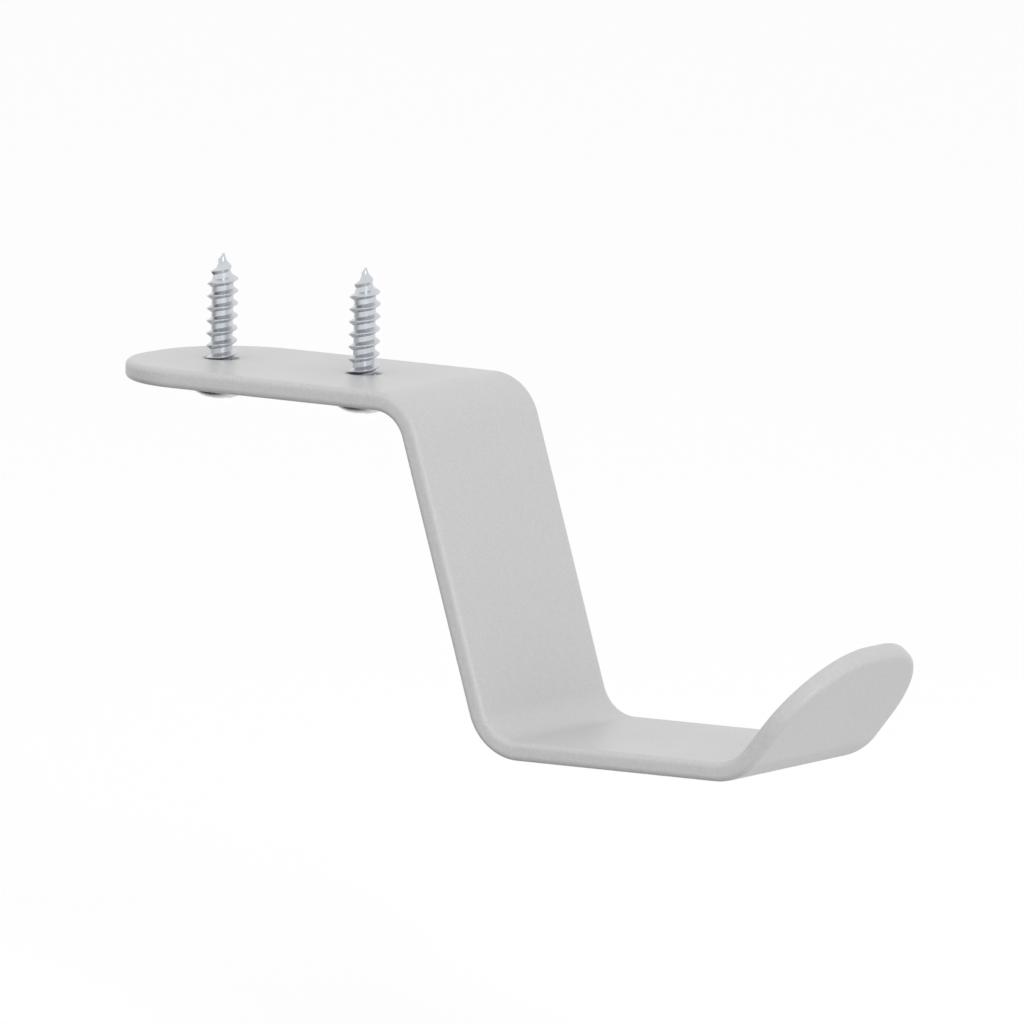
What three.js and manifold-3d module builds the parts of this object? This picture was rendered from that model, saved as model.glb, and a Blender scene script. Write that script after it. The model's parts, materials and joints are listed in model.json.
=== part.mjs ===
// A hook for a headset: one strip of sheet steel, cut with round ends, punched for two screws and bent
// three times. Its flange is screwed to the underside of a desk, its leg slants forwards and down from
// there, its seat carries the headband, and its upturned tip keeps the headband from sliding off.
//
// Millimetres. X runs across the strip, +Y points back under the desk and +Z points up. The origin lies
// on the flange's upper face, which meets the desk, midway between the two screws.

import * as THREE from "three";
import { mergeVertices } from "three/addons/utils/BufferGeometryUtils.js";
import Module from "manifold-3d";

// Strip
const STRIP_WIDTH = 28.5;
const STRIP_THICKNESS = 2.5;
const EDGE_ROUND = 0.8; // radius on every edge of the strip
const END_FLAT = 3.5; // straight stretch left between the round corners of each end

// Shape of the hook, seen from its side
const DROP = 45; // from the desk to the underside of the seat
const LEG_SLANT = 18; // degrees that the leg leans forwards from plumb
const SEAT_LENGTH = 36; // between the inner corners that the seat makes with leg and tip
const SEAT_RISE = 1; // degrees that the seat climbs towards the tip
const TIP_LENGTH = 16; // from the end of the bend to the end of the strip
const TIP_RISE = 52; // degrees that the tip climbs
const TOP_BEND_RADIUS = 4.5; // the three bend radii are on the inside of the bend
const SEAT_BEND_RADIUS = 5;
const TIP_BEND_RADIUS = 6;

// Fixing
const SCREW_SPACING = 22;
const HEAD_TO_BEND = 7; // clear flange between a screw's head and the bend
const HEAD_TO_END = 7; // clear flange between a screw's head and the end of the strip
const HOLE_CLEARANCE = 0.5; // hole over thread, on the diameter

// Screw, a pan head with a cross recess
const SCREW_LENGTH = 16; // under the head
const THREAD_DIAMETER = 4;
const CORE_DIAMETER = 2.8;
const THREAD_PITCH = 1.6;
const THREAD_START = 0.6; // above the head
const CREST_WIDTH = 0.15;
const FOOT_SHARE = 0.6; // share of the pitch that the thread's foot takes
const FOOT_SUNK = 0.15; // how far the thread's foot reaches into the core
const POINT_LENGTH = 3.2;
const BARE_POINT = 0.35; // share of the point that has no thread
const HEAD_DIAMETER = 8;
const HEAD_HEIGHT = 2.7;
const HEAD_RIM = 0.7; // height of the head's straight rim
const RECESS_WIDTH = 4.4; // across the wings of the cross, at the top of the head
const RECESS_WING = 1.1;
const RECESS_DEPTH = 1.8;
const RECESS_TAPER = 26; // degrees
const SCREW_TURNS = { screw_front: 25, screw_back: 70 }; // degrees that each head ended up turned

// Smoothness
const BEND_STEP = 6; // degrees
const EDGE_STEPS = 3;
const END_STEPS = 12;
const ROUND_SIDES = 28;
const THREAD_SIDES = 16;
const DOME_STEPS = 8;

const OVERCUT = 0.2; // how far a cut starts outside the piece it goes into

const COAT_GREY = 0xc1c1c1;
const ZINC_SILVER = 0xced1d5;

const wasm = await Module();
wasm.setup();

const radians = THREE.MathUtils.degToRad;

// Booleans

function solidOf(geometry) {
  const bare = geometry.clone();
  bare.deleteAttribute("normal");
  bare.deleteAttribute("uv");
  const merged = mergeVertices(bare, 1e-4);
  const mesh = new wasm.Mesh({
    numProp: 3,
    vertProperties: new Float32Array(merged.attributes.position.array),
    triVerts: new Uint32Array(merged.index.array),
  });
  return new wasm.Manifold(mesh);
}

function geometryOf(solid) {
  const mesh = solid.getMesh();
  const geometry = new THREE.BufferGeometry();
  geometry.setAttribute("position", new THREE.BufferAttribute(mesh.vertProperties, 3));
  geometry.setIndex(new THREE.BufferAttribute(mesh.triVerts, 1));
  geometry.computeVertexNormals();
  return geometry;
}

function geometryFrom(points, triangles) {
  const geometry = new THREE.BufferGeometry().setFromPoints(points);
  geometry.setIndex(triangles);
  return geometry;
}

// Strip: the middle line of its thickness, as straight stretches and bends from the flange's back end
// to the tip. A heading is in degrees above straight forwards.

const flangeLength = SCREW_SPACING + HEAD_DIAMETER + HEAD_TO_BEND + HEAD_TO_END;
const legHeading = LEG_SLANT - 90;
const halfThickness = STRIP_THICKNESS / 2;

// What a bend takes from the straight stretch on either side of it, measured at the given radius.
function setback(radius, turn) {
  return radius * Math.tan(radians(Math.abs(turn)) / 2);
}

const topTurn = legHeading;
const seatTurn = SEAT_RISE - legHeading;
const tipTurn = TIP_RISE - SEAT_RISE;
const legLength =
  (DROP - STRIP_THICKNESS) / Math.cos(radians(LEG_SLANT)) -
  setback(TOP_BEND_RADIUS + halfThickness, topTurn) -
  setback(SEAT_BEND_RADIUS + halfThickness, seatTurn);
const seatLength =
  SEAT_LENGTH - setback(SEAT_BEND_RADIUS, seatTurn) - setback(TIP_BEND_RADIUS, tipTurn);

const stretches = [
  { length: flangeLength },
  { turn: topTurn, radius: TOP_BEND_RADIUS + halfThickness },
  { length: legLength },
  { turn: seatTurn, radius: SEAT_BEND_RADIUS + halfThickness },
  { length: seatLength },
  { turn: tipTurn, radius: TIP_BEND_RADIUS + halfThickness },
  { length: TIP_LENGTH },
];

// Each stretch gets the place, distance along the strip and heading at which it starts.
function layOut() {
  const start = new THREE.Vector2(SCREW_SPACING / 2 + HEAD_DIAMETER / 2 + HEAD_TO_END, -halfThickness);
  let from = 0;
  let heading = 0;
  for (const stretch of stretches) {
    Object.assign(stretch, { from, heading, start: start.clone() });
    if (stretch.turn) stretch.length = stretch.radius * radians(Math.abs(stretch.turn));
    const end = placeOn(stretch, stretch.length, 0);
    start.set(end.y, end.z);
    from += stretch.length;
    heading += stretch.turn ?? 0;
  }
  return from;
}

// The point at a distance along a stretch, raised off the middle line towards the strip's upper face.
function placeOn(stretch, along, raised) {
  const { start, heading, turn, radius } = stretch;
  const initial = radians(heading);
  if (!turn) {
    const y = start.x - along * Math.cos(initial) + raised * Math.sin(initial);
    const z = start.y + along * Math.sin(initial) + raised * Math.cos(initial);
    return { y, z };
  }
  const side = Math.sign(turn);
  const angle = initial + (side * along) / radius;
  const y = start.x + side * radius * (Math.sin(initial) - Math.sin(angle)) + raised * Math.sin(angle);
  const z = start.y + side * radius * (Math.cos(initial) - Math.cos(angle)) + raised * Math.cos(angle);
  return { y, z };
}

const blankLength = layOut();

function bent(along, across, raised) {
  const stretch = stretches.findLast((one) => one.from <= along) ?? stretches[0];
  const { y, z } = placeOn(stretch, along - stretch.from, raised);
  return new THREE.Vector3(across, y, z);
}

// Where the blank's outline is cut across: at each step of a round end and of a bend.
function stations() {
  const endRadius = (STRIP_WIDTH - END_FLAT) / 2;
  const places = new Set();
  for (let i = 0; i <= END_STEPS; i++) {
    const along = endRadius * (1 - Math.cos((i / END_STEPS) * (Math.PI / 2)));
    places.add(along);
    places.add(blankLength - along);
  }
  for (const { from, length, turn } of stretches) {
    const steps = turn ? Math.ceil(Math.abs(turn) / BEND_STEP) : 1;
    for (let i = 0; i <= steps; i++) places.add(from + (i / steps) * length);
  }
  const sorted = [...places].sort((a, b) => a - b);
  return sorted.filter((place, i) => i === 0 || place - sorted[i - 1] > 1e-6);
}

// A point of the flat blank's right-hand outline, and the direction there that leads out of the blank.
function outlineAt(along) {
  const endRadius = (STRIP_WIDTH - END_FLAT) / 2;
  const fromEnd = Math.min(along, blankLength - along);
  if (fromEnd >= endRadius) return { along, across: STRIP_WIDTH / 2, outAlong: 0, outAcross: 1 };
  const outAlong = (endRadius - fromEnd) / endRadius;
  const outAcross = Math.sqrt(Math.max(0, 1 - outAlong * outAlong));
  const across = END_FLAT / 2 + endRadius * outAcross;
  return { along, across, outAlong: along < blankLength / 2 ? -outAlong : outAlong, outAcross };
}

// The layers of the strip's edge, from its lower face to its upper one: how far each is drawn in from
// the outline, and how far it is raised off the middle.
function edgeLayers() {
  const round = Math.min(EDGE_ROUND, 0.45 * STRIP_THICKNESS);
  const layers = [];
  for (const side of [-1, 1]) {
    for (let i = 0; i <= EDGE_STEPS; i++) {
      const step = side < 0 ? EDGE_STEPS - i : i;
      const angle = (step / EDGE_STEPS) * (Math.PI / 2);
      const inset = round * (1 - Math.cos(angle));
      const raised = side * (halfThickness - round + round * Math.sin(angle));
      layers.push({ inset, raised });
    }
  }
  return layers;
}

function stripGeometry() {
  const right = stations().map(outlineAt);
  const left = right.map((p) => ({ ...p, across: -p.across, outAcross: -p.outAcross }));
  const outline = [...right, ...left.reverse()];
  const layers = edgeLayers();
  const points = layers.flatMap(({ inset, raised }) =>
    outline.map((p) => bent(p.along - inset * p.outAlong, p.across - inset * p.outAcross, raised)),
  );

  const count = outline.length;
  const triangles = [];
  const quad = (a, b, c, d) => triangles.push(a, b, c, a, c, d);
  for (let layer = 0; layer < layers.length - 1; layer++) {
    for (let i = 0; i < count; i++) {
      const next = (i + 1) % count;
      const low = layer * count;
      const high = low + count;
      quad(low + i, high + i, high + next, low + next);
    }
  }
  const upper = (layers.length - 1) * count;
  for (let i = 0; i < right.length - 1; i++) {
    const opposite = count - 1 - i;
    quad(i, i + 1, opposite - 1, opposite);
    quad(upper + i, upper + opposite, upper + opposite - 1, upper + i + 1);
  }
  return geometryFrom(points, triangles);
}

function screwPlaces() {
  return { screw_front: -SCREW_SPACING / 2, screw_back: SCREW_SPACING / 2 };
}

function hookStrip() {
  let strip = solidOf(stripGeometry());
  const holeRadius = (THREAD_DIAMETER + HOLE_CLEARANCE) / 2;
  for (const y of Object.values(screwPlaces())) {
    const depth = STRIP_THICKNESS + 2 * OVERCUT;
    const drill = new THREE.CylinderGeometry(holeRadius, holeRadius, depth, ROUND_SIDES);
    drill.rotateX(Math.PI / 2).translate(0, y, -halfThickness);
    strip = strip.subtract(solidOf(drill));
  }
  return geometryOf(strip);
}

// Screw: pointing up, with the bearing face of its head at zero

const coreRadius = CORE_DIAMETER / 2;
const pointStart = SCREW_LENGTH - POINT_LENGTH;

function coreRadiusAt(height) {
  return height < pointStart ? coreRadius : (coreRadius * (SCREW_LENGTH - height)) / POINT_LENGTH;
}

function turnedBody() {
  const headRadius = HEAD_DIAMETER / 2;
  const crown = HEAD_HEIGHT - HEAD_RIM;
  const arc = new THREE.EllipseCurve(0, -HEAD_RIM, headRadius, crown, -Math.PI / 2, 0);
  const dome = arc.getPoints(DOME_STEPS);
  dome[0].x = 0;
  const profile = [
    ...dome,
    new THREE.Vector2(headRadius, 0),
    new THREE.Vector2(coreRadius, 0),
    new THREE.Vector2(coreRadius, pointStart),
    new THREE.Vector2(0, SCREW_LENGTH),
  ];
  return new THREE.LatheGeometry(profile, ROUND_SIDES).rotateX(Math.PI / 2);
}

// The thread is a ridge wound round the core. It grows out of the core over its first turn, and follows
// the point down to its end.
function threadRidge() {
  const end = SCREW_LENGTH - BARE_POINT * POINT_LENGTH;
  const turns = (end - THREAD_START) / THREAD_PITCH;
  const steps = Math.round(turns * THREAD_SIDES);
  const depth = (THREAD_DIAMETER - CORE_DIAMETER) / 2;
  const footWidth = FOOT_SHARE * THREAD_PITCH;
  const points = [];
  const triangles = [];
  for (let i = 0; i <= steps; i++) {
    const angle = (i / THREAD_SIDES) * 2 * Math.PI;
    const height = THREAD_START + (i / THREAD_SIDES) * THREAD_PITCH;
    const grown = Math.min(1, i / THREAD_SIDES, (steps - i) / (THREAD_SIDES / 2));
    const foot = coreRadiusAt(height) - FOOT_SUNK;
    const crest = foot + FOOT_SUNK / 2 + (depth + FOOT_SUNK / 2) * grown;
    const section = [
      [foot, -footWidth / 2],
      [crest, -CREST_WIDTH / 2],
      [crest, CREST_WIDTH / 2],
      [foot, footWidth / 2],
    ];
    for (const [radius, rise] of section) {
      points.push(new THREE.Vector3(radius * Math.cos(angle), radius * Math.sin(angle), height + rise));
    }
    if (i === 0) continue;
    const now = 4 * i;
    const before = now - 4;
    for (let side = 0; side < 4; side++) {
      const next = (side + 1) % 4;
      triangles.push(before + side, now + side, now + next, before + side, now + next, before + next);
    }
  }
  const last = 4 * steps;
  triangles.push(0, 1, 2, 0, 2, 3, last, last + 2, last + 1, last, last + 3, last + 2);
  return geometryFrom(points, triangles);
}

function crossRecess() {
  const wing = RECESS_WING / 2;
  const oneWing = [
    [wing, wing],
    [wing, RECESS_WIDTH],
    [-wing, RECESS_WIDTH],
  ];
  const centre = new THREE.Vector2();
  const corners = [];
  for (let quarter = 0; quarter < 4; quarter++) {
    for (const [x, y] of oneWing) {
      corners.push(new THREE.Vector2(x, y).rotateAround(centre, (quarter * Math.PI) / 2));
    }
  }
  const cross = new THREE.Shape(corners);
  const wings = new THREE.ExtrudeGeometry(cross, { depth: RECESS_DEPTH + OVERCUT, bevelEnabled: false });
  wings.translate(0, 0, -HEAD_HEIGHT - OVERCUT);
  const slope = Math.tan(radians(RECESS_TAPER));
  const mouth = RECESS_WIDTH / 2 + OVERCUT * slope;
  const floor = RECESS_WIDTH / 2 - RECESS_DEPTH * slope;
  const bit = new THREE.CylinderGeometry(floor, mouth, RECESS_DEPTH + OVERCUT, ROUND_SIDES);
  bit.rotateX(Math.PI / 2).translate(0, 0, -HEAD_HEIGHT + (RECESS_DEPTH - OVERCUT) / 2);
  return solidOf(wings).intersect(solidOf(bit));
}

function screw() {
  const body = solidOf(turnedBody()).add(solidOf(threadRidge()));
  return geometryOf(body.subtract(crossRecess()));
}

// Assembly

function headphoneHook() {
  const coat = new THREE.MeshStandardMaterial({ color: COAT_GREY, roughness: 0.36, metalness: 0 });
  const zinc = new THREE.MeshStandardMaterial({ color: ZINC_SILVER, roughness: 0.3, metalness: 1 });
  const hook = new THREE.Group();

  const strip = new THREE.Mesh(hookStrip(), coat);
  strip.name = "hook_strip";
  hook.add(strip);

  for (const [name, y] of Object.entries(screwPlaces())) {
    const fixing = new THREE.Mesh(screw(), zinc.clone());
    fixing.name = name;
    fixing.position.set(0, y, -STRIP_THICKNESS);
    fixing.rotation.z = radians(SCREW_TURNS[name]);
    hook.add(fixing);
  }
  return hook;
}

export default headphoneHook();
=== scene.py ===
import json
from math import atan2, cos, hypot, pi, radians, sin, tan

import bmesh
import bpy
from bpy.props import FloatProperty, FloatVectorProperty, PointerProperty
from bpy.types import Operator, Panel, PropertyGroup
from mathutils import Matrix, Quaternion, Vector


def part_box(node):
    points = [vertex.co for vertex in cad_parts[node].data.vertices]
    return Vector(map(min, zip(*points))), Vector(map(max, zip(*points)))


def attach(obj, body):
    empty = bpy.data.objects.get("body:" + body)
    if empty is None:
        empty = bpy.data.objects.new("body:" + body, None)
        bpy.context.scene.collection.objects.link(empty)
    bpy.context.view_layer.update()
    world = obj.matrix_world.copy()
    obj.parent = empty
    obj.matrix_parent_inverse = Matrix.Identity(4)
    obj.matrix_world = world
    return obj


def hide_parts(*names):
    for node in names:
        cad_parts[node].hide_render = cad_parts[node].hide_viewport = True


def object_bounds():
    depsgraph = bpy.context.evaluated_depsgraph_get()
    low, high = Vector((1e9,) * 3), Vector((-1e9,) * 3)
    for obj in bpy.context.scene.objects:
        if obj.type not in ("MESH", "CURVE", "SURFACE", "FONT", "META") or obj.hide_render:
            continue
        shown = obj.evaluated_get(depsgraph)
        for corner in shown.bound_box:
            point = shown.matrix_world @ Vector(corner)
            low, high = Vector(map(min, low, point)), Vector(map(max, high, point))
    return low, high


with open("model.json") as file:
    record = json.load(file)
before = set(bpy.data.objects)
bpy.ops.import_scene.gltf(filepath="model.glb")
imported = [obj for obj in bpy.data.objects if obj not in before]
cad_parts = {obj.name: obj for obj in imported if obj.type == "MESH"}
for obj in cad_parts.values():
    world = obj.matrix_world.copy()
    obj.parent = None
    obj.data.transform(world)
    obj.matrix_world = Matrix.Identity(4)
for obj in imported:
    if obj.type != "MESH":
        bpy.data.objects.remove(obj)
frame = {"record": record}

bl_info = {
    "name": "Headphone hook",
    "version": (1, 0, 0),
    "blender": (4, 5, 0),
    "location": "3D View > Sidebar > Hook",
    "description": "Builds a coated strip-steel headphone hook and its two screws round their design",
    "category": "Add Mesh",
}

CAD_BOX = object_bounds()
STRIP_LOW, STRIP_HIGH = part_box("hook_strip")
MOUNTS = {mount["name"]: mount for mount in frame["record"]["mounts"]}
SEAT_POINT = Vector(MOUNTS["headband_rest"]["pos_m"])
SEAT_AXIS = Vector(MOUNTS["headband_rest"]["axis"])
MM = 0.001


# Sizes and colours

class StripSettings(PropertyGroup):
    """The bent strip of sheet steel and its coat."""

    width: FloatProperty(
        name="Width", description="Width of the strip", default=STRIP_HIGH.x - STRIP_LOW.x,
        unit="LENGTH",
    )
    thickness: FloatProperty(
        name="Thickness", description="Thickness of the coated sheet", default=2.5 * MM,
        unit="LENGTH",
    )
    edge_round: FloatProperty(
        name="Edge round", description="Radius on the long edges and round the ends",
        default=0.8 * MM, unit="LENGTH",
    )
    end_flat: FloatProperty(
        name="End flat", description="Straight stretch between the round corners of an end",
        default=3.5 * MM, unit="LENGTH",
    )
    head_to_bend: FloatProperty(
        name="Head to bend", description="Clear flange between a screw's head and the bend",
        default=7 * MM, unit="LENGTH",
    )
    leg_slant: FloatProperty(
        name="Leg slant", description="How far the leg leans forwards from plumb",
        default=radians(18), subtype="ANGLE",
    )
    seat_length: FloatProperty(
        name="Seat length", description="Seat between the inner corners at leg and tip",
        default=36 * MM, unit="LENGTH",
    )
    tip_length: FloatProperty(
        name="Tip length", description="Tip from the end of its bend to the end of the strip",
        default=16 * MM, unit="LENGTH",
    )
    tip_rise: FloatProperty(
        name="Tip rise", description="How steeply the tip climbs", default=radians(52),
        subtype="ANGLE",
    )
    top_bend: FloatProperty(
        name="Top bend", description="Inside radius of the bend below the desk",
        default=4.5 * MM, unit="LENGTH",
    )
    seat_bend: FloatProperty(
        name="Seat bend", description="Inside radius of the bend from leg to seat",
        default=5 * MM, unit="LENGTH",
    )
    tip_bend: FloatProperty(
        name="Tip bend", description="Inside radius of the bend from seat to tip",
        default=6 * MM, unit="LENGTH",
    )
    hole_diameter: FloatProperty(
        name="Hole", description="Diameter of the two screw holes", default=4.5 * MM,
        unit="LENGTH",
    )
    hole_round: FloatProperty(
        name="Hole edge", description="Radius on the edges of the holes", default=0.3 * MM,
        unit="LENGTH",
    )
    coat_colour: FloatVectorProperty(
        name="Coat", description="Colour of the powder coat", subtype="COLOR", size=3,
        min=0, max=1, default=(0.53, 0.53, 0.53),
    )
    coat_roughness: FloatProperty(
        name="Coat roughness", description="Roughness of the powder coat", min=0, max=1,
        default=0.36, subtype="FACTOR",
    )


class ScrewSettings(PropertyGroup):
    """The two pan-head screws."""

    length: FloatProperty(
        name="Length", description="Length under the head", default=16 * MM, unit="LENGTH",
    )
    thread_diameter: FloatProperty(
        name="Thread", description="Diameter over the thread", default=4 * MM, unit="LENGTH",
    )
    core_diameter: FloatProperty(
        name="Core", description="Diameter under the thread", default=2.8 * MM, unit="LENGTH",
    )
    pitch: FloatProperty(
        name="Pitch", description="Advance of the thread in one turn", default=1.6 * MM,
        unit="LENGTH",
    )
    point_length: FloatProperty(
        name="Point", description="Length over which the thread runs to a point",
        default=3.2 * MM, unit="LENGTH",
    )
    head_diameter: FloatProperty(
        name="Head", description="Diameter of the head", default=8 * MM, unit="LENGTH",
    )
    head_height: FloatProperty(
        name="Head height", description="Height of the head", default=2.7 * MM,
        unit="LENGTH",
    )
    head_rim: FloatProperty(
        name="Head rim", description="Height of the straight rim of the head",
        default=0.7 * MM, unit="LENGTH",
    )
    recess_width: FloatProperty(
        name="Recess", description="Width across the cross recess", default=4.4 * MM,
        unit="LENGTH",
    )
    recess_wing: FloatProperty(
        name="Recess wing", description="Width of one wing of the recess", default=1.1 * MM,
        unit="LENGTH",
    )
    recess_depth: FloatProperty(
        name="Recess depth", description="Depth of the cross recess", default=1.8 * MM,
        unit="LENGTH",
    )
    front_turn: FloatProperty(
        name="Front screw", description="How far the front screw ended up turned",
        default=radians(25), subtype="ANGLE",
    )
    back_turn: FloatProperty(
        name="Back screw", description="How far the back screw ended up turned",
        default=radians(70), subtype="ANGLE",
    )
    zinc_colour: FloatVectorProperty(
        name="Zinc", description="Colour of the zinc plating", subtype="COLOR", size=3,
        min=0, max=1, default=(0.62, 0.64, 0.67),
    )


class StageSettings(PropertyGroup):
    """Floor, lights and camera."""

    floor_gap: FloatProperty(
        name="Floor gap", description="Height of the hook above the floor", default=60 * MM,
        unit="LENGTH",
    )
    view_azimuth: FloatProperty(
        name="Azimuth", description="Direction that the camera looks from, round the hook",
        default=radians(-56.8), subtype="ANGLE",
    )
    view_elevation: FloatProperty(
        name="Elevation", description="Height of the camera above the horizon",
        default=radians(7.9), subtype="ANGLE",
    )
    view_roll: FloatProperty(
        name="Roll", description="How far the camera leans to its left", default=radians(1.3),
        subtype="ANGLE",
    )
    lens: FloatProperty(
        name="Lens", description="Focal length of the camera", default=500, unit="CAMERA",
    )
    margin: FloatProperty(
        name="Margin", description="Picture size over the size of the hook's sphere",
        default=1.0,
    )
    key_light: FloatProperty(
        name="Key light", description="Power of the soft box", default=2.4, unit="POWER",
    )
    key_distance: FloatProperty(
        name="Key distance", description="Distance of the soft box from the hook", default=1.2,
        unit="LENGTH",
    )
    key_size: FloatProperty(
        name="Key size", description="Side of the square soft box", default=0.35,
        unit="LENGTH",
    )
    key_azimuth: FloatProperty(
        name="Key azimuth", description="Direction of the soft box, round the hook",
        default=radians(-45), subtype="ANGLE",
    )
    key_elevation: FloatProperty(
        name="Key elevation", description="Height of the soft box above the horizon",
        default=radians(20), subtype="ANGLE",
    )
    dark_way: FloatVectorProperty(
        name="Dark way", description="Direction in which the surroundings are dark",
        subtype="DIRECTION", size=3, default=(-0.29, 0.54, -0.79),
    )
    dark_inner: FloatProperty(
        name="Dark inner", description="Angle up to which they are darkest",
        default=radians(30), subtype="ANGLE",
    )
    dark_outer: FloatProperty(
        name="Dark outer", description="Angle past which they are white",
        default=radians(60), subtype="ANGLE",
    )
    darkness: FloatProperty(
        name="Darkness", description="Brightness of the darkest part", min=0, max=1,
        default=0.05, subtype="FACTOR",
    )
    floor_shade: FloatProperty(
        name="Floor", description="Shade of the floor", min=0, max=1, default=0.97,
        subtype="FACTOR",
    )


# Modelling by hand: what the operators share

NEAR = 0.01 * MM
DOUBLES = 0.001 * MM
SHARP = radians(60)


def start(add, **place):
    """Adds a primitive, with nothing else selected, and applies its place and turn."""
    bpy.ops.object.select_all(action="DESELECT")
    add(**place)
    bpy.ops.object.transform_apply(location=True, rotation=True, scale=True)
    return bpy.context.object


def select(piece):
    bpy.ops.object.select_all(action="DESELECT")
    bpy.context.view_layer.objects.active = piece
    piece.select_set(True)


def edit(piece):
    select(piece)
    bpy.ops.object.mode_set(mode="EDIT")
    bpy.ops.mesh.select_mode(type="VERT")
    bpy.ops.mesh.select_all(action="SELECT")


def leave_edit():
    bpy.ops.object.mode_set(mode="OBJECT")


def pick(piece, kind, test):
    """Selects the faces, edges or vertices that pass a test, and nothing else."""
    bpy.ops.mesh.select_mode(type=kind)
    bpy.ops.mesh.select_all(action="DESELECT")
    shape = bmesh.from_edit_mesh(piece.data)
    parts = {"FACE": shape.faces, "EDGE": shape.edges, "VERT": shape.verts}[kind]
    found = [part for part in parts if test(part)]
    if not found:
        raise RuntimeError(f"{piece.name} has nothing to select there")
    for part in found:
        part.select_set(True)
    shape.select_flush_mode()
    bmesh.update_edit_mesh(piece.data)


def middle(edge):
    """The point halfway along an edge."""
    return (edge.verts[0].co + edge.verts[1].co) / 2


def is_sharp(edge):
    return edge.is_manifold and edge.calc_face_angle() > SHARP


def extrude(step):
    bpy.ops.mesh.extrude_region_move(TRANSFORM_OT_translate={"value": step})


def bevel(size, segments, keep_apart=True):
    bpy.ops.mesh.bevel(
        offset=size, offset_type="OFFSET", segments=segments, affect="EDGES",
        clamp_overlap=keep_apart,
    )


def draw(points):
    """Draws an open outline vertex by vertex, and leaves it in edit mode."""
    piece = start(bpy.ops.mesh.primitive_plane_add, size=MM, location=points[0])
    edit(piece)
    bpy.ops.mesh.merge(type="CENTER")
    for before, after in zip(points, points[1:]):
        extrude(Vector(after) - Vector(before))
    bpy.ops.mesh.select_all(action="SELECT")
    return piece


def turned(points, sides):
    """Turns an outline from the axis back to the axis into a closed solid."""
    piece = draw(points)
    bpy.ops.mesh.spin(steps=sides, angle=2 * pi, center=(0, 0, 0), axis=(0, 0, 1))
    close_up(piece)
    return piece


def close_up(piece):
    """Merges doubles and turns every face outwards, from edit mode."""
    bpy.ops.mesh.select_mode(type="VERT")
    bpy.ops.mesh.select_all(action="SELECT")
    bpy.ops.mesh.remove_doubles(threshold=DOUBLES)
    bpy.ops.mesh.normals_make_consistent(inside=False)
    leave_edit()


def apply_modifier(piece, kind, **settings):
    select(piece)
    modifier = piece.modifiers.new(kind.title(), kind)
    for name, value in settings.items():
        setattr(modifier, name, value)
    bpy.ops.object.modifier_apply(modifier=modifier.name)


def join_or_cut(piece, tool, operation):
    apply_modifier(piece, "BOOLEAN", object=tool, operation=operation, solver="EXACT")
    bpy.data.objects.remove(tool)


def smooth(piece, angle):
    select(piece)
    bpy.ops.object.shade_smooth_by_angle(angle=angle)
    apply_modifier(piece, "WEIGHTED_NORMAL", keep_sharp=True, weight=100)


def hand_over(piece, name, material, node):
    """Names a finished piece and lets it stand for its node."""
    piece.name = piece.data.name = name
    piece.data.materials.clear()
    piece.data.materials.append(material)
    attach(piece, "root")
    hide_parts(node)


# The strip

BEND_STEP = radians(4)
END_SEGMENTS = 24
EDGE_SEGMENTS = 5
HOLE_SIDES = 96
HOLE_SEGMENTS = 3
STRIP_CREASE = radians(35)


def ahead(heading):
    """The way that a stretch of the strip runs. A heading is the angle above level."""
    return Vector((0, -cos(heading), sin(heading)))


def upwards(heading):
    """Straight out of the upper face of a stretch."""
    return Vector((0, sin(heading), cos(heading)))


def setback(radius, turn):
    """What a bend takes from the straight stretch on either side of it."""
    return radius * tan(abs(turn) / 2)


def bend(at, heading, turn, radius):
    """Spins the strip's open end round a bend, and returns where it comes to."""
    side = 1 if turn > 0 else -1
    centre = at + side * radius * upwards(heading)
    bpy.ops.mesh.spin(
        steps=round(abs(turn) / BEND_STEP), angle=abs(turn), center=centre, axis=(side, 0, 0),
        use_auto_merge=False,
    )
    return centre - side * radius * upwards(heading + turn)


def screw_places():
    """Where each screw stands along the flange."""
    places = {}
    for node in ("screw_front", "screw_back"):
        low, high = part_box(node)
        places[node] = round((low.y + high.y) / 2, 5)
    return places


def swept_strip(strip, screws):
    """Draws the strip forwards from its back end, square-edged, through its three bends."""
    half = strip.thickness / 2
    seat_rise = atan2(SEAT_AXIS.y, SEAT_AXIS.z)
    leg = strip.leg_slant - pi / 2
    headings = (0, leg, seat_rise, strip.tip_rise)
    turns = [after - before for before, after in zip(headings, headings[1:])]
    insides = (strip.top_bend, strip.seat_bend, strip.tip_bend)
    middles = [inside + half for inside in insides]
    taken = [setback(radius, turn) for radius, turn in zip(middles, turns)]

    back = Vector((0, STRIP_HIGH.y, -half))
    bend_start = screw_places()["screw_front"] - screws.head_diameter / 2 - strip.head_to_bend
    corner = Vector((0, bend_start - taken[0], -half))
    seat_middle = SEAT_POINT - half * SEAT_AXIS
    leg_length = (seat_middle - corner).dot(SEAT_AXIS) / ahead(leg).dot(SEAT_AXIS)
    inner_taken = setback(insides[1], turns[1]) + setback(insides[2], turns[2])
    lengths = (
        STRIP_HIGH.y - bend_start,
        leg_length - taken[0] - taken[1],
        strip.seat_length - inner_taken,
        strip.tip_length,
    )

    piece = start(
        bpy.ops.mesh.primitive_plane_add, size=1, location=back, rotation=(pi / 2, 0, 0)
    )
    edit(piece)
    bpy.ops.transform.resize(
        value=(strip.width, 1, strip.thickness), center_override=back
    )
    at = back
    for i, length in enumerate(lengths):
        step = length * ahead(headings[i])
        extrude(step)
        at = at + step
        if i < len(turns):
            at = bend(at, headings[i], turns[i], middles[i])
    close_up(piece)
    return piece, at, ahead(headings[-1])


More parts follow.
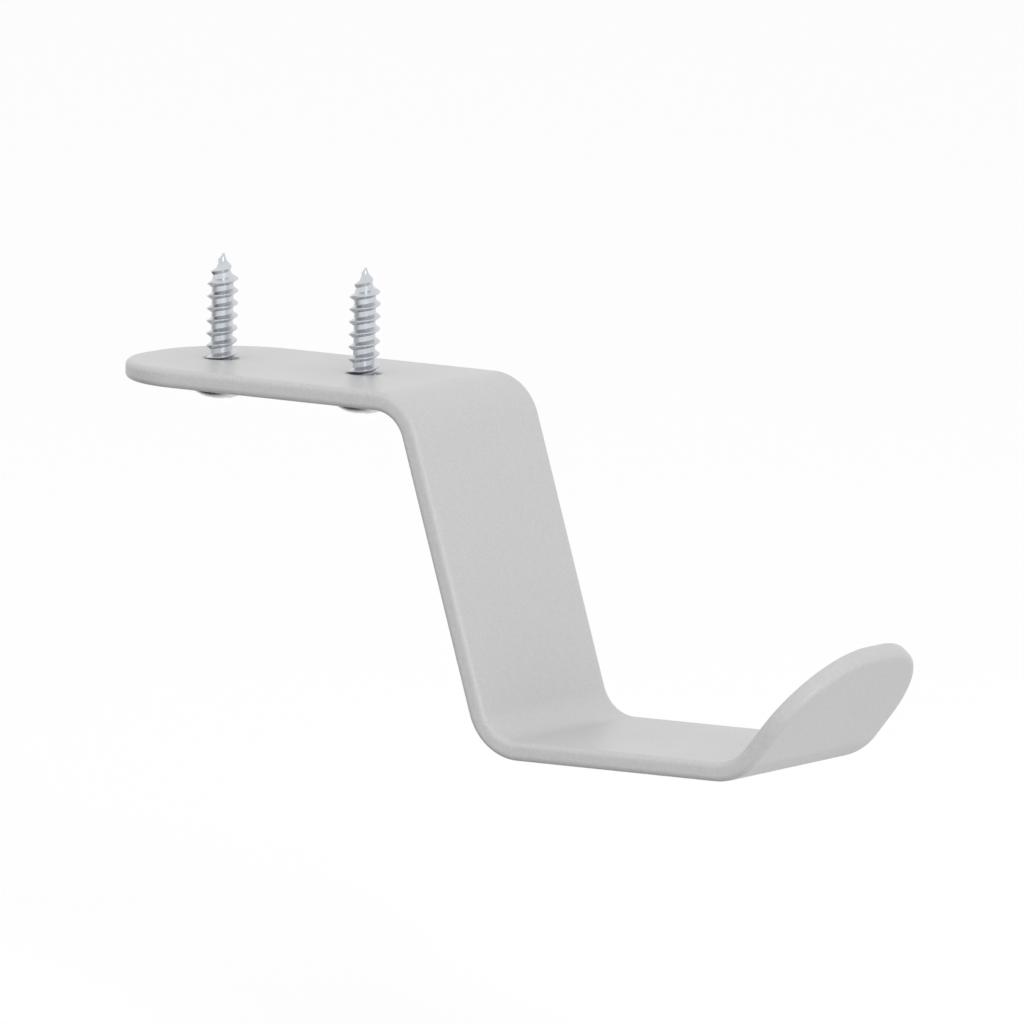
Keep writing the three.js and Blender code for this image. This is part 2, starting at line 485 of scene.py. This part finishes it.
def round_ends(piece, strip, tip, tip_way):
    """Rounds the corners of both ends of the strip."""
    def at_corner(edge):
        place = middle(edge)
        at_side = abs(abs(place.x) - strip.width / 2) < NEAR
        upright = abs(edge.verts[0].co.x - edge.verts[1].co.x) < NEAR
        at_back = abs(place.y - STRIP_HIGH.y) < NEAR
        at_tip = abs((place - tip).dot(tip_way)) < NEAR
        is_short = edge.calc_length() < strip.thickness + NEAR
        return at_side and upright and is_short and (at_back or at_tip)

    edit(piece)
    pick(piece, "EDGE", at_corner)
    bevel((strip.width - strip.end_flat) / 2, END_SEGMENTS, keep_apart=False)
    leave_edit()


def drill(piece, strip, y):
    """Cuts a screw hole through the flange."""
    tool = start(
        bpy.ops.mesh.primitive_cylinder_add, vertices=HOLE_SIDES, location=(0, y, 0),
        radius=strip.hole_diameter / 2, depth=4 * strip.thickness,
    )
    join_or_cut(piece, tool, "DIFFERENCE")


def round_edges(piece, strip, holes):
    """Rounds the edges of the holes, and then the strip's own edges."""
    def beside_hole(edge):
        place = middle(edge)
        reach = strip.hole_diameter
        return any(hypot(place.x, place.y - y) < reach for y in holes)

    edit(piece)
    pick(piece, "EDGE", lambda edge: is_sharp(edge) and beside_hole(edge))
    bevel(strip.hole_round, HOLE_SEGMENTS)
    pick(piece, "EDGE", lambda edge: is_sharp(edge) and not beside_hole(edge))
    bevel(strip.edge_round, EDGE_SEGMENTS)
    close_up(piece)


# The screws

THREAD_SIDES = 48
SPARE_TURNS = 4
CUT_THRESHOLD = 0.0001 * MM
FOOT_SHARE = 0.6  # width of the thread's foot, in pitches
CREST_SHARE = 0.08  # width of its crest, in pitches
POINT_TAPER = -0.93  # share that the point closes by, as a taper
HEAD_SIDES = 96
DOME_STEPS = 12
RIM_CHAMFER = 0.12 * MM
SCREW_CREASE = radians(32)

# The driver's bit, which the recess is cut with
BIT_OVER = 0.3 * MM  # how far it starts outside the head
BIT_NARROWING = 0.58  # share of its width left at the end of the wings
BIT_POINT = 0.45 * MM
BIT_POINT_NARROWING = 0.1  # share left at the end of the point
BIT_FILLET = 0.25 * MM
BIT_FILLET_SEGMENTS = 3
BIT_INNER = 1.6  # the corners between two wings lie within this many half wings
FACING_UP = 0.9


def threaded_rod(screws):
    """A rod with a screw thread: one turn's outline wound upwards, cut flat at both ends."""
    core = screws.core_diameter / 2
    crest = screws.thread_diameter / 2
    foot = FOOT_SHARE * screws.pitch
    land = CREST_SHARE * screws.pitch
    flank = (foot - land) / 2
    rest = screws.pitch - foot
    outline = [
        (core, 0),
        (core, rest),
        (crest, rest + flank),
        (crest, rest + flank + land),
        (core, screws.pitch),
    ]
    piece = draw([(radius, 0, height) for radius, height in outline])
    leave_edit()
    turns = int(screws.length / screws.pitch) + SPARE_TURNS
    apply_modifier(
        piece, "SCREW", screw_offset=screws.pitch, iterations=turns, steps=THREAD_SIDES,
        render_steps=THREAD_SIDES, use_smooth_shade=False,
    )
    edit(piece)
    bpy.ops.mesh.remove_doubles(threshold=DOUBLES)
    sunk = screws.head_height / 2
    bottom = 1.5 * screws.pitch
    top = bottom + sunk + screws.length
    for height, up in ((bottom, -1), (top, 1)):
        bpy.ops.mesh.select_all(action="SELECT")
        bpy.ops.mesh.bisect(
            plane_co=(0, 0, height), plane_no=(0, 0, up), use_fill=True, clear_outer=True,
            threshold=CUT_THRESHOLD,
        )
    bpy.ops.mesh.select_all(action="SELECT")
    bpy.ops.transform.translate(value=(0, 0, -bottom - sunk))
    close_up(piece)
    return piece


def run_to_point(piece, screws):
    """Draws the top of the rod, core and thread alike, in to a point."""
    lift = screws.length - screws.point_length
    edit(piece)
    bpy.ops.transform.translate(value=(0, 0, -lift))
    leave_edit()
    low = min(vertex.co.z for vertex in piece.data.vertices)
    whole = screws.point_length - low
    apply_modifier(
        piece, "SIMPLE_DEFORM", deform_method="TAPER", deform_axis="Z", factor=POINT_TAPER,
        limits=(-low / whole, 1),
    )
    edit(piece)
    bpy.ops.transform.translate(value=(0, 0, lift))
    leave_edit()


def pan_head(screws):
    """The head, turned, with its bearing face at zero and its crown below."""
    radius = screws.head_diameter / 2
    crown = screws.head_height - screws.head_rim
    outline = [(0, 0, -screws.head_height)]
    for i in range(1, DOME_STEPS + 1):
        angle = i / DOME_STEPS * pi / 2
        outline.append((radius * sin(angle), 0, -screws.head_rim - crown * cos(angle)))
    outline += [(radius, 0, -RIM_CHAMFER), (radius - RIM_CHAMFER, 0, 0), (0, 0, 0)]
    return turned(outline, HEAD_SIDES)


def narrow(share, height):
    """Draws what is selected at a height in towards the axis."""
    bpy.ops.transform.resize(value=(share, share, 1), center_override=(0, 0, height))


def cross_bit(screws):
    """The driver's shape: four wings that narrow on their way in, with a pointed end."""
    wing = screws.recess_wing / 2
    reach = screws.recess_width / 2
    mouth = -screws.head_height - BIT_OVER
    floor = -screws.head_height + screws.recess_depth
    height = floor - mouth
    centre = Vector((0, 0, (mouth + floor) / 2))
    piece = start(bpy.ops.mesh.primitive_cube_add, size=1, location=centre)
    edit(piece)
    bpy.ops.transform.resize(value=(2 * wing, 2 * wing, height), center_override=centre)
    for x, y in ((1, 0), (0, 1), (-1, 0), (0, -1)):
        way = Vector((x, y, 0))
        side = centre + wing * way
        pick(piece, "FACE", lambda face: (face.calc_center_median() - side).length < NEAR)
        extrude((reach - wing) * way)
    pick(piece, "VERT", lambda vertex: vertex.co.z > floor - NEAR)
    narrow(BIT_NARROWING, floor)
    pick(piece, "FACE", lambda face: face.normal.z > FACING_UP)
    extrude(Vector((0, 0, BIT_POINT)))
    narrow(BIT_POINT_NARROWING, floor + BIT_POINT)

    def between_wings(edge):
        ends = [vertex.co for vertex in edge.verts]
        is_inner = all(hypot(end.x, end.y) < BIT_INNER * wing for end in ends)
        return is_inner and abs(ends[0].z - ends[1].z) > height / 2

    pick(piece, "EDGE", between_wings)
    bevel(BIT_FILLET, BIT_FILLET_SEGMENTS)
    close_up(piece)
    return piece


def make_screw(node, name, turn, screws, thickness, material):
    """Joins rod and head, cuts the recess, and stands the screw in its hole."""
    piece = threaded_rod(screws)
    run_to_point(piece, screws)
    join_or_cut(piece, pan_head(screws), "UNION")
    join_or_cut(piece, cross_bit(screws), "DIFFERENCE")
    edit(piece)
    close_up(piece)
    piece.location = (0, screw_places()[node], -thickness)
    piece.rotation_euler.z = turn
    select(piece)
    bpy.ops.object.transform_apply(location=True, rotation=True, scale=True)
    smooth(piece, SCREW_CREASE)
    hand_over(piece, name, material, node)


# Materials

NOISE_LOW = 0.3
NOISE_HIGH = 0.7
COAT_GLOSS_SPREAD = 0.03
ZINC_ROUGHNESS = (0.22, 0.34)
PAPER_ROUGHNESS = 0.9


def new_material(name):
    material = bpy.data.materials.new(name)
    material.use_nodes = True
    nodes = material.node_tree.nodes
    shader = nodes["Principled BSDF"]
    coordinates = nodes.new("ShaderNodeTexCoord")
    return material, material.node_tree, shader, coordinates.outputs["Object"]


def noise(tree, place, size, detail=2.0):
    """Noise whose grains are of a given size."""
    node = tree.nodes.new("ShaderNodeTexNoise")
    node.inputs["Scale"].default_value = 1 / size
    node.inputs["Detail"].default_value = detail
    tree.links.new(place, node.inputs["Vector"])
    return node.outputs["Fac"]


def between(tree, factor, low, high):
    """A number that follows a noise from low to high."""
    node = tree.nodes.new("ShaderNodeMapRange")
    node.inputs["From Min"].default_value = NOISE_LOW
    node.inputs["From Max"].default_value = NOISE_HIGH
    node.inputs["To Min"].default_value = low
    node.inputs["To Max"].default_value = high
    tree.links.new(factor, node.inputs["Value"])
    return node.outputs["Result"]


def shades(tree, factor, colour, spread):
    """A colour that wanders a little lighter and darker with a noise."""
    node = tree.nodes.new("ShaderNodeValToRGB")
    low, high = node.color_ramp.elements
    low.position, high.position = NOISE_LOW, NOISE_HIGH
    low.color = (*(channel * (1 - spread) for channel in colour), 1)
    high.color = (*(channel * (1 + spread) for channel in colour), 1)
    tree.links.new(factor, node.inputs["Fac"])
    return node.outputs["Color"]


def bump(tree, height, depth, strength, under=None):
    """A relief of a given depth, over another one if it is given."""
    node = tree.nodes.new("ShaderNodeBump")
    node.inputs["Distance"].default_value = depth
    node.inputs["Strength"].default_value = strength
    tree.links.new(height, node.inputs["Height"])
    if under:
        tree.links.new(under, node.inputs["Normal"])
    return node.outputs["Normal"]


def powder_coat(strip):
    """Fused powder: an orange-peel skin over fine grains, with soft patches of gloss."""
    material, tree, shader, place = new_material("powder_coat")
    grains = noise(tree, place, size=0.3 * MM)
    peel = noise(tree, place, size=1.1 * MM)
    patches = noise(tree, place, size=12 * MM, detail=4)
    colour = shades(tree, grains, strip.coat_colour, spread=0.05)
    tree.links.new(colour, shader.inputs["Base Color"])
    smoothest = strip.coat_roughness - COAT_GLOSS_SPREAD
    roughest = strip.coat_roughness + COAT_GLOSS_SPREAD
    tree.links.new(between(tree, patches, smoothest, roughest), shader.inputs["Roughness"])
    fine = bump(tree, grains, depth=0.015 * MM, strength=0.7)
    skin = bump(tree, peel, depth=0.06 * MM, strength=0.7, under=fine)
    tree.links.new(skin, shader.inputs["Normal"])
    shader.inputs["Metallic"].default_value = 0.0
    shader.inputs["Specular IOR Level"].default_value = 0.5
    return material


def zinc_plate(screws):
    """Satin plating: a very fine grain, with patches that are a little duller."""
    material, tree, shader, place = new_material("zinc_plate")
    grain = noise(tree, place, size=0.12 * MM)
    patches = noise(tree, place, size=1.5 * MM, detail=3)
    colour = shades(tree, patches, screws.zinc_colour, spread=0.05)
    tree.links.new(colour, shader.inputs["Base Color"])
    tree.links.new(between(tree, patches, *ZINC_ROUGHNESS), shader.inputs["Roughness"])
    skin = bump(tree, grain, depth=0.006 * MM, strength=0.4)
    tree.links.new(skin, shader.inputs["Normal"])
    shader.inputs["Metallic"].default_value = 1.0
    return material


def floor_paper(shade):
    """Matt white or grey paper."""
    material, _, shader, _ = new_material("floor_paper")
    shader.inputs["Base Color"].default_value = (shade, shade, shade, 1)
    shader.inputs["Roughness"].default_value = PAPER_ROUGHNESS
    return material


# The stage

FLOOR_SIZE = 20
SENSOR_WIDTH = 36
CLIP_RANGE = 100


def studio_world(stage):
    """White all round but for a soft dark patch, as a black card would throw it."""
    world = bpy.data.worlds.new("studio")
    world.use_nodes = True
    tree = world.node_tree
    direction = tree.nodes.new("ShaderNodeTexCoord").outputs["Generated"]
    towards = tree.nodes.new("ShaderNodeVectorMath")
    towards.operation = "DOT_PRODUCT"
    towards.inputs[1].default_value = Vector(stage.dark_way).normalized()
    tree.links.new(direction, towards.inputs[0])
    patch = tree.nodes.new("ShaderNodeMapRange")
    patch.interpolation_type = "SMOOTHSTEP"
    patch.inputs["From Min"].default_value = cos(stage.dark_outer)
    patch.inputs["From Max"].default_value = cos(stage.dark_inner)
    patch.inputs["To Min"].default_value = 1
    patch.inputs["To Max"].default_value = stage.darkness
    tree.links.new(towards.outputs["Value"], patch.inputs["Value"])
    tree.links.new(patch.outputs["Result"], tree.nodes["Background"].inputs["Strength"])
    tree.nodes["Background"].inputs["Color"].default_value = (1, 1, 1, 1)
    return world


def aim(thing, azimuth, elevation, distance, roll=0):
    """Puts a light or a camera in a direction from the hook, and turns it to face the hook."""
    low, high = CAD_BOX
    away = Vector((sin(azimuth) * cos(elevation), -cos(azimuth) * cos(elevation), sin(elevation)))
    thing.location = (low + high) / 2 + distance * away
    facing = away.to_track_quat("Z", "Y") @ Quaternion((0, 0, 1), roll)
    thing.rotation_euler = facing.to_euler()


def add_floor(stage):
    """A pale floor that only the camera sees, so that it throws no light back on the hook."""
    height = CAD_BOX[0].z - stage.floor_gap
    floor = start(bpy.ops.mesh.primitive_plane_add, size=FLOOR_SIZE, location=(0, 0, height))
    floor.name = floor.data.name = "floor"
    floor.data.materials.append(floor_paper(stage.floor_shade))
    floor.visible_diffuse = floor.visible_glossy = False


def add_soft_box(stage):
    data = bpy.data.lights.new("key_light", "AREA")
    data.shape = "SQUARE"
    data.size = stage.key_size
    data.energy = stage.key_light
    light = bpy.data.objects.new("key_light", data)
    bpy.context.scene.collection.objects.link(light)
    aim(light, stage.key_azimuth, stage.key_elevation, stage.key_distance)


def add_camera(stage):
    """A camera so far off that the hook's sphere fills the picture."""
    low, high = CAD_BOX
    data = bpy.data.cameras.new("camera")
    data.lens = stage.lens
    data.sensor_width = SENSOR_WIDTH
    camera = bpy.data.objects.new("camera", data)
    bpy.context.scene.collection.objects.link(camera)
    bpy.context.scene.camera = camera
    half_angle = atan2(data.sensor_width / 2, data.lens)
    distance = stage.margin * (high - low).length / 2 / sin(half_angle)
    aim(camera, stage.view_azimuth, stage.view_elevation, distance, stage.view_roll)
    data.clip_start = distance / CLIP_RANGE
    data.clip_end = distance * CLIP_RANGE


# Operators and panel

class HOOK_OT_strip(Operator):
    """Bend the coated strip"""

    bl_idname = "hook.strip"
    bl_label = "Strip"

    def execute(self, context):
        strip, screws = context.scene.hook_strip, context.scene.hook_screws
        piece, tip, tip_way = swept_strip(strip, screws)
        round_ends(piece, strip, tip, tip_way)
        holes = screw_places().values()
        for y in holes:
            drill(piece, strip, y)
        round_edges(piece, strip, holes)
        smooth(piece, STRIP_CREASE)
        hand_over(piece, "bent_strip", powder_coat(strip), "hook_strip")
        return {"FINISHED"}


class HOOK_OT_screws(Operator):
    """Make the two pan-head screws"""

    bl_idname = "hook.screws"
    bl_label = "Screws"

    def execute(self, context):
        strip, screws = context.scene.hook_strip, context.scene.hook_screws
        zinc = zinc_plate(screws)
        turns = {"front": screws.front_turn, "back": screws.back_turn}
        for end, turn in turns.items():
            make_screw(f"screw_{end}", f"{end}_screw", turn, screws, strip.thickness, zinc)
        return {"FINISHED"}


class HOOK_OT_stage(Operator):
    """Set up floor, lights and camera"""

    bl_idname = "hook.stage"
    bl_label = "Stage"

    def execute(self, context):
        scene, stage = context.scene, context.scene.hook_stage
        add_floor(stage)
        scene.world = studio_world(stage)
        add_soft_box(stage)
        add_camera(stage)
        scene.view_settings.view_transform = "Standard"
        return {"FINISHED"}


class HOOK_PT_panel(Panel):
    """Everything that makes the hook"""

    bl_idname = "HOOK_PT_panel"
    bl_label = "Headphone hook"
    bl_space_type = "VIEW_3D"
    bl_region_type = "UI"
    bl_category = "Hook"

    def draw(self, context):
        for settings, operator in (
            (context.scene.hook_strip, "hook.strip"),
            (context.scene.hook_screws, "hook.screws"),
            (context.scene.hook_stage, "hook.stage"),
        ):
            box = self.layout.box()
            for name in settings.bl_rna.properties.keys():
                if name not in ("rna_type", "name"):
                    box.prop(settings, name)
            box.operator(operator)


SETTINGS = {"hook_strip": StripSettings, "hook_screws": ScrewSettings, "hook_stage": StageSettings}
CLASSES = (*SETTINGS.values(), HOOK_OT_strip, HOOK_OT_screws, HOOK_OT_stage, HOOK_PT_panel)


def register():
    for one in CLASSES:
        bpy.utils.register_class(one)
    for name, group in SETTINGS.items():
        setattr(bpy.types.Scene, name, PointerProperty(type=group))


def unregister():
    for name in SETTINGS:
        delattr(bpy.types.Scene, name)
    for one in reversed(CLASSES):
        bpy.utils.unregister_class(one)


def main():
    """Builds the stage, the strip and the screws."""
    register()
    bpy.ops.hook.stage()
    bpy.ops.hook.strip()
    bpy.ops.hook.screws()


if __name__ == "__main__":
    main()
